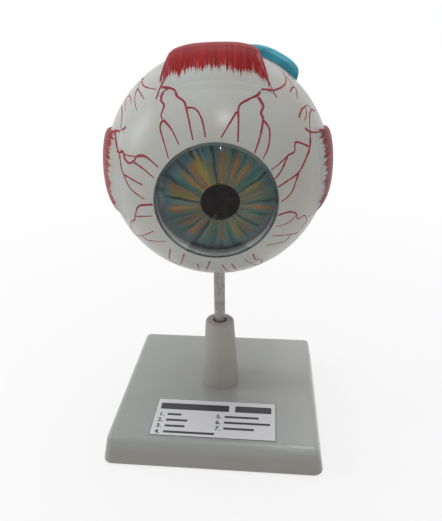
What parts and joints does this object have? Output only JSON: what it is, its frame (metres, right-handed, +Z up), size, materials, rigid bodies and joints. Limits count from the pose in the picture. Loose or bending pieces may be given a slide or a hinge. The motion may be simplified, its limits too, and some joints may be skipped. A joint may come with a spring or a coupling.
{
  "type": "eye anatomy model",
  "caption": "Enlarged right eye with muscle straps that parts at its seam, showing iris, lens, vitreous body and retina, on a turning rod in a tapered socket on a moulded base.",
  "frame": {"origin": "middle of the underside of the base, on the table", "axes": "+Z up; the front, where the eye looks and the label lies, is towards -Y; the nose side of the eye is towards +X"},
  "size_m": [0.1501, 0.1771, 0.2651],
  "materials": {
    "base": "satin",
    "board": "plain",
    "screw_steel": "zinc plated",
    "label": "matt",
    "socket": "satin",
    "rod": "galvanised, mottled",
    "bush": "turned",
    "sclera": "painted, with fine vessels",
    "choroid": "painted",
    "retina": "painted, with vessels",
    "yellow_spot": "painted",
    "nerve": "painted",
    "sheath": "painted",
    "artery": "painted",
    "vein": "painted",
    "muscle": "brush painted",
    "tendon": "white like the shell, with a red brushed end at the seam that frays forwards",
    "oblique": "painted",
    "cornea": "clear, polished",
    "iris": "painted",
    "ciliary": "painted",
    "zonule": "plain",
    "lens": "clear, polished",
    "vitreous": "clear"
  },
  "bodies": {
    "stand": {"base_shell": "base", "bottom_cover": "board", "cover_screws": "screw_steel", "label_plate": "label", "socket_column": "socket", "column_washer": "screw_steel", "column_screw": "screw_steel"},
    "rod": {"support_rod": "rod"},
    "ball": {"rod_bush": "bush", "sclera_rear": "sclera", "choroid_rear": "choroid", "retina": "retina", "yellow_spot": "yellow_spot", "optic_nerve": "nerve", "nerve_sheath": "sheath", "central_artery": "artery", "central_vein": "vein", "superior_rectus": "muscle", "inferior_rectus": "muscle", "lateral_rectus": "muscle", "medial_rectus": "muscle", "superior_oblique": "oblique", "inferior_oblique": "oblique"},
    "front": {"sclera_front": "sclera", "superior_tendon": "tendon", "inferior_tendon": "tendon", "lateral_tendon": "tendon", "medial_tendon": "tendon", "cornea": "cornea", "iris": "iris", "ciliary_ring": "ciliary", "zonule_ring": "zonule", "choroid_front": "choroid"},
    "vitreous": {"vitreous_body": "vitreous"},
    "lens": {"lens": "lens"}
  },
  "joints": [
    {"name": "eye_turn", "type": "hinge", "parent": "stand", "child": "rod", "pos_m": [0, 0.0045, 0], "axis": [0, 0, 1], "continuous": true},
    {"name": "ball_lift", "type": "slide", "parent": "rod", "child": "ball", "axis": [0, 0, 1], "range_m": [0, 0.025]},
    {"name": "front_pull", "type": "slide", "parent": "ball", "child": "front", "axis": [0.075, -0.9972, 0], "range_m": [0, 0.17]},
    {"name": "vitreous_pull", "type": "slide", "parent": "ball", "child": "vitreous", "axis": [0.075, -0.9972, 0], "range_m": [0, 0.085]},
    {"name": "lens_pull", "type": "slide", "parent": "vitreous", "child": "lens", "axis": [0.075, -0.9972, 0], "range_m": [0, 0.0306]}
  ],
  "couplings": [
    {"joint": "vitreous_pull", "follows": "front_pull", "ratio": 0.5},
    {"joint": "lens_pull", "follows": "front_pull", "ratio": 0.18}
  ]
}
